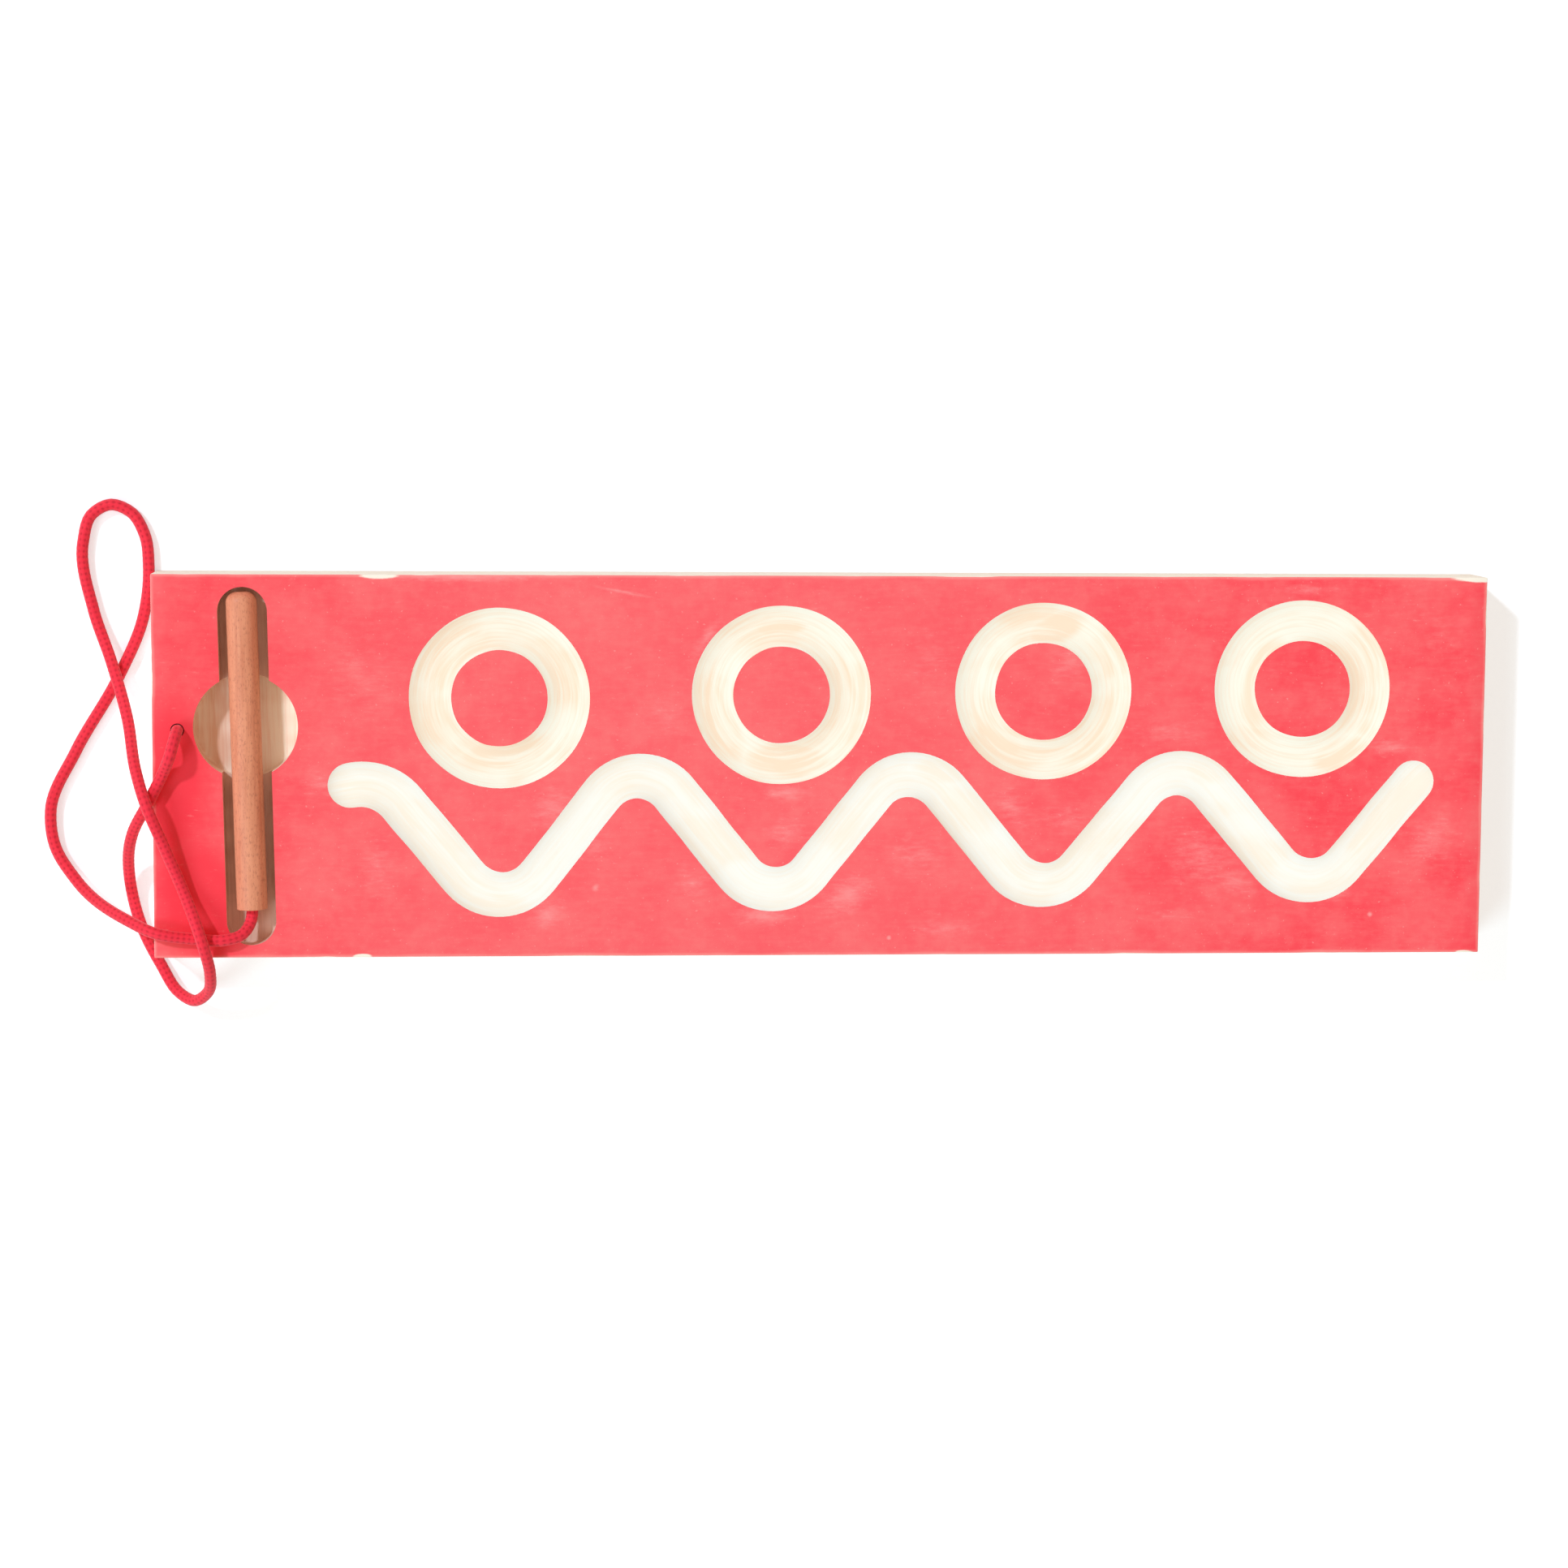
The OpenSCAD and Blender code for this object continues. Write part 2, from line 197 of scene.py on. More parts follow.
class Finish:
    """A material in the making. Most calls add one node, join what feeds it and give its output."""

    def __init__(self, name, **sockets):
        self.material = bpy.data.materials.new(name)
        self.material.use_nodes = True
        self.tree = self.material.node_tree
        self.shader = self.tree.nodes["Principled BSDF"]
        for socket, value in sockets.items():
            self.shader.inputs[socket.replace("_", " ")].default_value = value

    def join(self, source, socket):
        if isinstance(source, bpy.types.NodeSocket):
            self.tree.links.new(source, socket)
        else:
            socket.default_value = source

    def add(self, kind, joins, output=0, **settings):
        node = self.tree.nodes.new("ShaderNode" + kind)
        for name, value in settings.items():
            setattr(node, name, value)
        for socket, source in joins.items():
            self.join(source, node.inputs[socket])
        return node.outputs[output]

    def place(self, scale=(1, 1, 1), shift=(0, 0, 0), turn=(0, 0, 0), of="Object"):
        where = self.add("TexCoord", {}, output=of)
        joins = {"Vector": where, "Location": shift, "Rotation": turn, "Scale": scale}
        return self.add("Mapping", joins)

    def speckle(self, where, detail=3.0, roughness=0.5):
        joins = {"Vector": where, "Scale": 1, "Detail": detail, "Roughness": roughness}
        return self.add("TexNoise", joins)

    def sum(self, operation, *values, clamp=False):
        return self.add("Math", dict(enumerate(values)), operation=operation, use_clamp=clamp)

    def between(self, value, low, high, to_low=0.0, to_high=1.0):
        joins = {"Value": value, "From Min": low, "From Max": high}
        joins.update({"To Min": to_low, "To Max": to_high})
        return self.add("MapRange", joins, interpolation_type="SMOOTHSTEP")

    def mix(self, share, one, other):
        return self.add("Mix", {0: share, 6: one, 7: other}, output=2, data_type="RGBA")

    def spot(self, where, right, up, half_length, half_width, turn=0):
        """1 at a place that many mm right and up from the origin, falling to 0 round an ellipse."""
        place = {
            "Vector": where,
            "Location": (right * mm, up * mm, 0),
            "Rotation": (0, 0, math.radians(turn)),
            "Scale": (half_length * mm, half_width * mm, 1),
        }
        inside = self.add("Mapping", place, vector_type="TEXTURE")
        return self.add("TexGradient", {0: inside}, gradient_type="SPHERICAL")

    def bump(self, height, distance, strength):
        return self.add("Bump", {"Height": height, "Distance": distance, "Strength": strength})

    def done(self, **sockets):
        for socket, source in sockets.items():
            self.join(source, self.shader.inputs[socket.replace("_", " ")])
        return self.material


def cord_finish():
    """Red braid: a painted highlight on each pick and on loose fibres, and painted shade between the
    picks.
    """
    cord = Finish(
        "red_braid", Roughness=0.72, Specular_IOR_Level=0.25, Sheen_Weight=0.25, Sheen_Roughness=0.5
    )
    girth = math.pi * cord_diameter
    where = cord.place(scale=(1 / braid_pitch, braid_picks / girth, 1), of="UV")
    along = cord.add("SeparateXYZ", {0: where}, output=0)
    around = cord.add("SeparateXYZ", {0: where}, output=1)
    strands = []
    for way in ("ADD", "SUBTRACT"):
        phase = cord.sum("MULTIPLY", cord.sum(way, around, along), 2 * math.pi)
        strands.append(cord.sum("COSINE", phase))
    picks = cord.between(cord.sum("MULTIPLY", *strands), -1.6, 0.6)
    fibres = cord.speckle(cord.place(scale=(900, 3600, 1), turn=(0, 0, 0.7), of="UV"), detail=2)
    patches = cord.speckle(cord.place(scale=(60, 60, 1), of="UV"))
    # Painted light: the picks and loose fibres are painted bright as highlight, and the gaps between the
    # picks are painted dark as shade.
    lit_shares = [cord.sum("MULTIPLY", part, 0.6) for part in (picks, fibres)]
    pick_light = cord.sum("ADD", *lit_shares, clamp=True)
    body = cord.mix(cord.between(pick_light, 0.1, 1), tone(186, 14, 38), tone(252, 46, 68))
    colour = cord.mix(cord.between(patches, 0.4, 0.75, 0, 0.35), body, tone(224, 26, 48))
    return cord.done(Base_Color=colour, Normal=cord.bump(fibres, 0.06 * mm, 0.7))


red_braid = cord_finish()


def braided(distance, turn):
    """Radius of the cord: each pick of the braid stands a little proud of the gaps round it."""
    one = math.cos(2 * math.pi * (braid_picks * turn + distance / braid_pitch))
    other = math.cos(2 * math.pi * (braid_picks * turn - distance / braid_pitch))
    return cord_diameter / 2 + braid_relief * (one * other + 0.6)


cord_line = smooth_line(
    route,
    first_heading=-along_stylus,
    last_heading=(0, 0, -1),
    step=cord_ring_step,
    floor=cord_rest_height,
)
tether = piece("tether_braid", tube(cord_line, braided, cord_sides), red_braid, braid_crease)
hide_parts("tether_cord")
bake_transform(tether)

# Tether knot. The cord's tail goes down through the face and is tied in an overhand knot, which
# is pulled up into a wider pocket under the board, so that it can't be pulled back through.
knot_pocket_depth = 8.5 * mm
knot_middle = 5.1 * mm
knot_reach = 2.75 * mm
knot_rise = 2.1 * mm
knot_cord_radius = 1.25 * mm
knot_first_angle = 25
knot_sweep = 300
knot_points = 20
knot_ring_step = 0.25 * mm
knot_sides = 24
tail_heights = (8 * mm, 4.2 * mm)
tag_end = Vector((1.2, -1.6, -2.6)) * mm


def knot_point(angle):
    """A trefoil, whose lobes nearly fill the pocket."""
    return Vector((
        knot_reach * (math.sin(angle) + 2 * math.sin(2 * angle)) / 3,
        knot_reach * (math.cos(angle) - 2 * math.cos(2 * angle)) / 3,
        -knot_rise * math.sin(3 * angle),
    ))


knot_centre = Vector((cord_hole_mouth.x, cord_hole_mouth.y, knot_middle))
knot_route = [cord_hole_mouth]
knot_route += [knot_centre + Vector((0, 0, height)) for height in tail_heights]
for i in range(knot_points + 1):
    angle = math.radians(knot_first_angle + knot_sweep * i / knot_points)
    knot_route.append(knot_centre + knot_point(angle))
knot_route.append(knot_centre + tag_end)
knot_line = smooth_line(knot_route, (0, 0, -1), (0, 0, -1), knot_ring_step)


def knotted(distance, turn):
    """Radius of the cord in the knot, where it is drawn a little thinner."""
    snug = min(1, distance / (face_height - knot_pocket_depth))
    return braided(distance, turn) - snug * (cord_diameter / 2 - knot_cord_radius)


knot_body = tube(knot_line, knotted, knot_sides, side=Vector((1, 0, 0)))
knot = piece("overhand_knot", knot_body, red_braid, braid_crease)
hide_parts("tether_knot")
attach(knot, "board")

# Cord end. The other end of the same red cord is glued into a hole drilled up the stylus,
# 12 mm deep, where the wood hides it.
cord_socket_depth = 12 * mm
end_steps = round(cord_socket_depth / cord_ring_step)
end_step = along_stylus * cord_socket_depth / end_steps
end_line = [stylus_end_middle + end_step * i for i in range(end_steps + 1)]
cord_end = piece("glued_cord_end", tube(end_line, braided, cord_sides), red_braid, braid_crease)
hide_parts("stylus_cord_end")
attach(cord_end, "stylus")

# Stylus. A length of 8 mm hardwood dowel, pinkish tan with fine dark flecks along the grain.
# One end is rounded to trace with. The other is sawn square, eased, and drilled for the cord.
stylus_diameter = 8 * mm
stylus_length = 82.8 * mm
tip_rounding = 2.8 * mm
end_bevel = 0.3 * mm
socket_gap = 0.05 * mm
socket_wall = (stylus_diameter - cord_diameter) / 2 - socket_gap
dowel_sides = 72


def dowel_body():
    """The dowel, standing on its flat end at the origin."""
    body = bmesh.new()
    upright = Matrix.Translation((0, 0, stylus_length / 2))
    bmesh.ops.create_cone(
        body, cap_ends=True, segments=dowel_sides, depth=stylus_length, matrix=upright,
        radius1=stylus_diameter / 2, radius2=stylus_diameter / 2,
    )
    tip = next(face for face in body.faces if face.normal.z > 0.9)
    bmesh.ops.bevel(
        body, geom=tip.edges[:], offset=tip_rounding, segments=10, profile=0.5,
        material=-1, affect="EDGES",
    )
    flat = min(body.faces, key=lambda face: face.calc_center_median().z)
    bmesh.ops.bevel(
        body, geom=flat.edges[:], offset=end_bevel, segments=3, profile=0.5,
        material=-1, affect="EDGES",
    )
    flat = min(body.faces, key=lambda face: face.calc_center_median().z)
    bmesh.ops.inset_region(body, faces=[flat], thickness=socket_wall - end_bevel, use_even_offset=True)
    middles = {face: face.calc_center_median() for face in body.faces}
    mouth = min(body.faces, key=lambda face: (middles[face].z, middles[face].xy.length))
    bottom = bmesh.ops.extrude_discrete_faces(body, faces=[mouth])["faces"][0]
    bmesh.ops.translate(body, verts=bottom.verts[:], vec=(0, 0, cord_socket_depth))
    bmesh.ops.recalc_face_normals(body, faces=body.faces)
    return body


def stylus_finish():
    """Pinkish hardwood: straight grain, short dark flecks lengthwise, a waxed and handled surface."""
    wood = Finish("flecked_hardwood", Specular_IOR_Level=0.3)
    streaks = wood.speckle(wood.place(scale=(900, 60, 900)), detail=4)
    flecks = wood.speckle(wood.place(scale=(2600, 900, 2600)), detail=2, roughness=0.6)
    shades = wood.speckle(wood.place(scale=(90, 14, 90)), detail=3)
    ground = wood.mix(wood.between(streaks, 0.3, 0.7), tone(218, 136, 102), tone(238, 159, 122))
    aged = wood.mix(wood.between(shades, 0.35, 0.7, 0, 0.4), ground, tone(224, 140, 107))
    fleck_share = wood.between(flecks, 0.5, 0.72, 0, 0.5)
    colour = wood.mix(fleck_share, aged, tone(176, 102, 78))
    relief = wood.sum("SUBTRACT", streaks, wood.sum("MULTIPLY", fleck_share, 0.6))
    return wood.done(
        Base_Color=colour,
        Roughness=wood.between(streaks, 0.2, 0.8, 0.42, 0.62),
        Normal=wood.bump(relief, 0.05 * mm, 0.6),
    )


dowel = dowel_body()
lying = Matrix.Translation(stylus_end_middle) @ Matrix.Rotation(stylus_turn, 4, "Z")
lying @= Matrix.Rotation(math.radians(-90), 4, "X")
bmesh.ops.transform(dowel, matrix=lying, verts=dowel.verts)
stylus = piece("stylus_dowel", dowel, stylus_finish(), crease=40)
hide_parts("stylus")
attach(stylus, "stylus")

# Cutters. The rings and the wave were cut by hand-guided passes of one round-nosed router bit,
# so their edges wander by a tenth or two of a millimetre. The pocket, the recess and the cord's
# hole are plain drilled and milled shapes. Each cutter leaves its own finish on the wood.
board_low, board_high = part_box("board")
board_length = board_high.x - board_low.x
board_width = board_high.y - board_low.y
far_edge = board_width / 2
near_edge = -far_edge
cutter_radius = 9.5 * mm
cutter_sides = 72
overrun = 1 * mm


def cut_depth(width):
    """How deep the round-nosed bit goes for a groove of that width."""
    return cutter_radius - math.sqrt(cutter_radius**2 - (width / 2) ** 2)


def routed_finish(name, pale, warm, warm_share, glow_through=0.0, painted_shade_places=()):
    """Bare routed wood: streaks that follow the cut, over patches where the grain shows warmer.
    At the places given, it is painted warmer still, as painted shade on the groove walls.

    Light soaks through pale wood, so a slope in it shades less than it leans, by glow_through.
    """
    wood = Finish(name, Roughness=0.7, Specular_IOR_Level=0.2)
    plan = wood.place()
    x = wood.add("SeparateXYZ", {0: plan}, output=0)
    y = wood.add("SeparateXYZ", {0: plan}, output=1)
    across = wood.add("SeparateXYZ", {0: wood.place(of="UV")}, output=1)

    def along_the_cut(slow, fast, detail):
        sizes = ((x, slow), (y, slow), (across, fast))
        parts = [wood.sum("MULTIPLY", value, size) for value, size in sizes]
        stretched = wood.add("CombineXYZ", dict(enumerate(parts)))
        return wood.speckle(stretched, detail=detail, roughness=0.6)

    lines = along_the_cut(60, 1500, 4)
    bands = along_the_cut(34, 520, 3)
    patches = wood.speckle(wood.place(scale=(45, 70, 45)), detail=2)
    grain = wood.speckle(wood.place(scale=(60, 1400, 1400)), detail=3)
    warmer = wood.between(patches, 0.4, 0.62, 0, 0.8)
    # Painted shade: the wood is made warmer at each of the places given.
    for place in painted_shade_places:
        warmer = wood.sum("MAXIMUM", warmer, wood.between(wood.spot(plan, *place), 0, 0.5))
    banded = wood.sum("MULTIPLY", wood.between(bands, 0.36, 0.6, 0.2, 1), warmer)
    streaked = wood.sum("MULTIPLY", wood.between(lines, 0.42, 0.68), 0.45)
    total = wood.sum("MULTIPLY", wood.sum("ADD", banded, streaked, clamp=True), warm_share)
    colour = wood.mix(total, pale, warm)
    height = wood.sum("ADD", lines, wood.sum("MULTIPLY", grain, 0.5))
    slope = wood.bump(height, 0.05 * mm, 0.5)
    level = wood.add(
        "VectorTransform", {0: (0, 0, 1)},
        vector_type="NORMAL", convert_from="OBJECT", convert_to="WORLD",
    )
    eased = wood.add("Mix", {0: glow_through, 4: slope, 5: level}, output=1, data_type="VECTOR")
    normal = wood.add("VectorMath", {0: eased}, operation="NORMALIZE")
    return wood.done(Base_Color=colour, Normal=normal)


# Places on the ring walls that are painted warmer, as painted shade.
ring_painted_shade = [
    # mm right of the board's middle, mm up from it, half length, half width, turn
    (-99, 30, 15, 8, 45), (-84, 4, 15, 6, 10), (-13, 37, 9, 5, 0), (-28, 12, 16, 6, -70),
    (-10, 2, 14, 5, 0), (60, 36, 10, 5, 20), (46, 10, 14, 6, -60), (116, 22, 16, 7, 80),
    (137, 3, 10, 5, 20),
]
# Places on the wave's walls that are painted warmer, as painted shade, listed like the rings'.
wave_painted_shade = [
    (-126, -8, 16, 7, 0), (-88, -38, 14, 6, 0), (33, 0, 12, 6, 10), (103, 0, 10, 6, 0),
    (158, -8, 18, 8, 50),
]
ring_finish = routed_finish(
    "ring_wood", tone(255, 250, 232), tone(255, 222, 188), 0.72,
    glow_through=0.6, painted_shade_places=ring_painted_shade,
)
wave_finish = routed_finish(
    "wave_wood", tone(255, 252, 241), tone(255, 236, 209), 0.55,
    glow_through=0.8, painted_shade_places=wave_painted_shade,
)
# The pocket and the recess are a darker, browner wood than the grooves: painted shade in these deep
# cuts.
pocket_finish = routed_finish("pocket_wood", tone(236, 198, 176), tone(202, 156, 134), 0.7)
recess_finish = routed_finish("recess_wood", tone(255, 238, 216), tone(236, 186, 154), 0.8)
hole_finish = routed_finish("stained_wood", tone(240, 66, 78), tone(214, 48, 62), 0.6)

ring_groove_width = 10.3 * mm
ring_groove_depth = cut_depth(ring_groove_width)
ring_diameter = 36.1 * mm
ring_spacing = 70.4 * mm
ring_row_inset = 31.5 * mm
ring_row_rise = 0.7 * mm
first_ring_inset = 89.8 * mm
# How far each ring stands right of an even spacing
ring_slip = (0, 3.2 * mm, 1.6 * mm, 0)
ring_stray = [
    # mm by which each ring was cut right of its place, above it, and too deep
    (-0.15, -0.6, 0.24), (-0.15, -0.43, 0.15), (0, -0.13, 0.07), (0, -0.2, 0.13),
]
ring_stations = 200
hand_wander = 0.16 * mm
hand_dip = 0.05 * mm
wander_length = 9 * mm
ring_dip_seed = 10
wave_stray_seed = 20
wave_dip_seed = 30


def wander(distance, seed):
    """How far a hand-guided cut strays, from -1 to 1, at a distance along it."""
    return noise.noise(Vector((distance / wander_length, seed, 0.5)))


def ring_cutter(i):
    """The round-nosed bit, carried once round a ring. The wander fades out where the ring closes."""
    right, up, down = ring_stray[i]
    middle = Vector((
        left_end + first_ring_inset + i * ring_spacing + ring_slip[i] + right * mm,
        far_edge - ring_row_inset + i * ring_row_rise + up * mm,
        face_height - ring_groove_depth - down * mm + cutter_radius,
    ))
    line = []
    for k in range(ring_stations + 1):
        turn = 2 * math.pi * k / ring_stations
        walked = turn * ring_diameter / 2
        fade = math.sin(turn / 2) ** 0.5
        reach = ring_diameter / 2 + fade * hand_wander * wander(walked, i)
        dip = fade * hand_dip * wander(walked, ring_dip_seed + i)
        line.append(middle + Vector((reach * math.cos(turn), reach * math.sin(turn), dip)))
    line[ring_stations] = line[0].copy()
    return tube(line, lambda distance, turn: cutter_radius, cutter_sides)


wave_groove_width = 11.8 * mm
wave_groove_depth = cut_depth(wave_groove_width)
wave_falling_extra = 0.35 * mm
wave_pitch = 71.2 * mm
wave_bend_radius = 12 * mm
first_crest_radius = 14 * mm
trough_count = 4
trough_rise = 1.2 * mm
first_trough = Vector((left_end + 90.3 * mm, near_edge + 9.2 * mm))
crest_level = first_trough.y + 45.6 * mm
run_in = Vector((first_trough.x - 39.3 * mm, crest_level - 9.6 * mm))
first_crest = Vector((first_trough.x - 30.9 * mm, crest_level - 8.3 * mm))
run_out_reach = 27.3 * mm
run_out_drop = 8.9 * mm
wave_step = 1.2 * mm
bend_steps = 6
heading_steps = 4
nose_angles = range(90, 0, -6)


def wave_corners():
    """Where the wave's straight strokes would meet, from its run in to its run out."""
    corners = [run_in, first_crest]
    for i in range(trough_count):
        corners.append(first_trough + i * Vector((wave_pitch, trough_rise)))
        corners.append(Vector((first_trough.x + (i + 0.5) * wave_pitch, crest_level)))
    last_trough = corners[-2]
    corners[-1] = Vector((last_trough.x + run_out_reach, crest_level - run_out_drop))
    return corners


def wave_plan():
    """Points along the middle of the wave: straight strokes, joined by round bends."""
    corners = wave_corners()
    plan = [corners[0]]
    for i in range(1, len(corners) - 1):
        back = (corners[i - 1] - corners[i]).normalized()
        ahead = (corners[i + 1] - corners[i]).normalized()
        half = back.angle(ahead) / 2
        radius = first_crest_radius if i == 1 else wave_bend_radius
        centre = corners[i] + (back + ahead).normalized() * radius / math.sin(half)
        start = corners[i] + back * radius / math.tan(half) - centre
        sweep = math.copysign(math.pi - 2 * half, -back.cross(ahead))
        steps = max(bend_steps, round(abs(sweep) * radius / wave_step))
        for k in range(steps + 1):
            plan.append(centre + Matrix.Rotation(sweep * k / steps, 2) @ start)
    plan.append(corners[-1])
    even = [plan[0]]
    for p, q in zip(plan, plan[1:]):
        steps = max(1, round((q - p).length / wave_step))
        even += [p.lerp(q, k / steps) for k in range(1, steps + 1)]
    return even


def wave_cutter():
    """The same bit, carried along the wave, deeper on each stroke that falls than where it rises."""
    plan = wave_plan()
    bit_height = face_height - wave_groove_depth + cutter_radius
    line = []
    walked = 0.0
    for i, point in enumerate(plan):
        before = plan[max(i - heading_steps, 0)]
        after = plan[min(i + heading_steps, len(plan) - 1)]
        heading = (after - before).normalized()
        walked += (point - plan[max(i - 1, 0)]).length
        stray = Vector((-heading.y, heading.x)) * hand_wander * wander(walked, wave_stray_seed)
        dip = wave_falling_extra * heading.y + hand_dip * wander(walked, wave_dip_seed)
        line.append(Vector((*(point + stray), bit_height + dip)))
    nose = [math.sin(math.radians(a)) * cutter_radius for a in nose_angles]
    out = (line[0] - line[1]).normalized()
    on = (line[-1] - line[-2]).normalized()
    line = [line[0] + out * reach for reach in nose] + line
    line += [line[-1] + on * reach for reach in reversed(nose)]
    whole = sum((b - a).length for a, b in zip(line, line[1:]))

    def radius(distance, turn):
        over = max(cutter_radius - distance, distance - (whole - cutter_radius), 0)
        return math.sqrt(max(cutter_radius**2 - over**2, 0))

    return tube(line, radius, cutter_sides)


pocket_turn = math.radians(1.3)
pocket_width = 12.8 * mm
pocket_length = 93.4 * mm
pocket_depth = 5.65 * mm
finger_recess_diameter = 27 * mm
finger_recess_depth = 7.5 * mm
finger_recess_offset = 10.4 * mm
cord_hole_diameter = 3.6 * mm
knot_pocket_diameter = 9.5 * mm
floor_rounding = 0.7 * mm
bit_sides = 96


def round_cutter(diameter, low, high, rounding=0.0, stretch=0.0):
    """An upright bit from one height to another, carried along Y by the stretch."""
    body = bmesh.new()
    bmesh.ops.create_cone(
        body, cap_ends=True, segments=bit_sides, radius1=diameter / 2, radius2=diameter / 2,
        depth=high - low, matrix=Matrix.Translation((0, 0, (low + high) / 2)),
    )
    for vert in body.verts:
        vert.co.y += stretch / 2 if vert.co.y > -weld_gap else -stretch / 2
    if rounding:
        floor = min(body.faces, key=lambda face: face.calc_center_median().z)
        bmesh.ops.bevel(
            body, geom=floor.edges[:], offset=rounding, segments=3, profile=0.5,
            material=-1, affect="EDGES",
        )
    uv = body.loops.layers.uv.new("surface")
    for face in body.faces:
        for loop in face.loops:
            loop[uv].uv = (loop.vert.co.y, loop.vert.co.x + loop.vert.co.z)
    bmesh.ops.recalc_face_normals(body, faces=body.faces)
    return body


def milled(body):
    """A cutter made at the origin, put at the pocket's place and turn."""
    place = Matrix.Translation((left_end + pocket_inset, 0, 0))
    bmesh.ops.transform(body, matrix=place @ Matrix.Rotation(pocket_turn, 4, "Z"), verts=body.verts)
    return body


def drilled(body):
    """A cutter made at the origin, put where the cord passes through."""
    bmesh.ops.translate(body, verts=body.verts, vec=(cord_hole_mouth.x, cord_hole_mouth.y, 0))
    return body


pocket_bit = round_cutter(
    pocket_width, face_height - pocket_depth, face_height + overrun, floor_rounding,
    stretch=pocket_length - pocket_width,
)
recess_bit = round_cutter(
    finger_recess_diameter, face_height - finger_recess_depth, face_height + overrun, floor_rounding
)
bmesh.ops.translate(recess_bit, verts=recess_bit.verts, vec=(0, finger_recess_offset, 0))
hole_bit = round_cutter(cord_hole_diameter, -overrun, face_height + overrun)
knot_bit = round_cutter(knot_pocket_diameter, -overrun, knot_pocket_depth)
cutters = [piece(f"ring_cutter_{i}", ring_cutter(i), ring_finish) for i in range(len(ring_slip))]
cutters += [
    piece("wave_cutter", wave_cutter(), wave_finish),
    piece("pocket_cutter", milled(pocket_bit), pocket_finish),
    piece("recess_cutter", milled(recess_bit), recess_finish),
    piece("hole_cutter", drilled(hole_bit), hole_finish),
    piece("knot_cutter", drilled(knot_bit), pocket_finish),
]

# Board. One planed plank of pale wood, 18 mm thick, with its grain along its length. Its edges
# were eased with sandpaper by hand, so they are round and not quite straight.
paint_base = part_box("face_paint")[0].z
edge_rounding = 0.3 * mm
edge_stray = 0.06 * mm
side_wander_length = 45 * mm
end_wander_length = 35 * mm
slice_step = 5 * mm
at_the_edge = 0.01 * mm
heart_offset = 22 * mm
heart_depth = 105 * mm
half_rings_per_metre = 300


def plank_blank():
    """The plank with its eased edges, before anything is cut into it."""
    body = bmesh.new()
    body.loops.layers.uv.new("surface")
    size = Matrix.Diagonal((board_length, board_width, face_height, 1))
    bmesh.ops.create_cube(body, size=1, matrix=Matrix.Translation((0, 0, face_height / 2)) @ size)
    ways = ((Vector((1, 0, 0)), board_length / 2), (Vector((0, 1, 0)), board_width / 2))
    for axis, reach in ways:
        slices = round(2 * reach / slice_step)
        for k in range(1, slices):
            cut = axis * (2 * reach * k / slices - reach)
            whole = body.verts[:] + body.edges[:] + body.faces[:]
            bmesh.ops.bisect_plane(body, geom=whole, plane_co=cut, plane_no=axis, dist=weld_gap)
    for vert in body.verts:
        x, y = vert.co.xy
        if abs(y) > board_width / 2 - at_the_edge:
            stray = 0.5 + noise.noise(Vector((x / side_wander_length, y, 3)))
            vert.co.y -= math.copysign(edge_stray * stray, y)
        if abs(x) > board_length / 2 - at_the_edge:
            stray = 0.5 + noise.noise(Vector((x, y / end_wander_length, 7)))
            vert.co.x -= math.copysign(edge_stray * stray, x)
    corners = [edge for edge in body.edges if edge.calc_face_angle(0) > math.radians(45)]
    bmesh.ops.bevel(
        body, geom=corners, offset=edge_rounding, segments=3, profile=0.5,
        material=-1, affect="EDGES",
    )
    return body


def plank_part(keep_above):
    """The plank above or below the underside of the paint, closed again where it was parted."""
    body = plank_blank()
    whole = body.verts[:] + body.edges[:] + body.faces[:]
    bmesh.ops.bisect_plane(
        body, geom=whole, plane_co=(0, 0, paint_base), plane_no=(0, 0, -1 if keep_above else 1),
        clear_outer=True, dist=weld_gap / 10,
    )
    bmesh.ops.holes_fill(body, edges=[edge for edge in body.edges if edge.is_boundary], sides=0)
    bmesh.ops.recalc_face_normals(body, faces=body.faces)
    return body


def cut_out(made):
    """Takes every cutter out of a piece, and keeps the result as its mesh."""
    for cutter in cutters:
        cut = made.modifiers.new(cutter.name, "BOOLEAN")
        cut.object = cutter
        cut.operation = "DIFFERENCE"
        cut.solver = "EXACT"
        cut.material_mode = "TRANSFER"
    seen = made.evaluated_get(bpy.context.evaluated_depsgraph_get())
    carved = bpy.data.meshes.new_from_object(seen)
    made.modifiers.clear()
    made.data = carved
    body = bmesh.new()
    body.from_mesh(carved)
    bmesh.ops.remove_doubles(body, verts=body.verts, dist=weld_gap)
    bmesh.ops.dissolve_degenerate(body, edges=body.edges, dist=weld_gap)
    bmesh.ops.holes_fill(body, edges=[edge for edge in body.edges if edge.is_boundary], sides=0)
    body.to_mesh(carved)
    body.free()
    carved.shade_smooth()
    carved.set_sharp_from_angle(angle=math.radians(25))
    return made


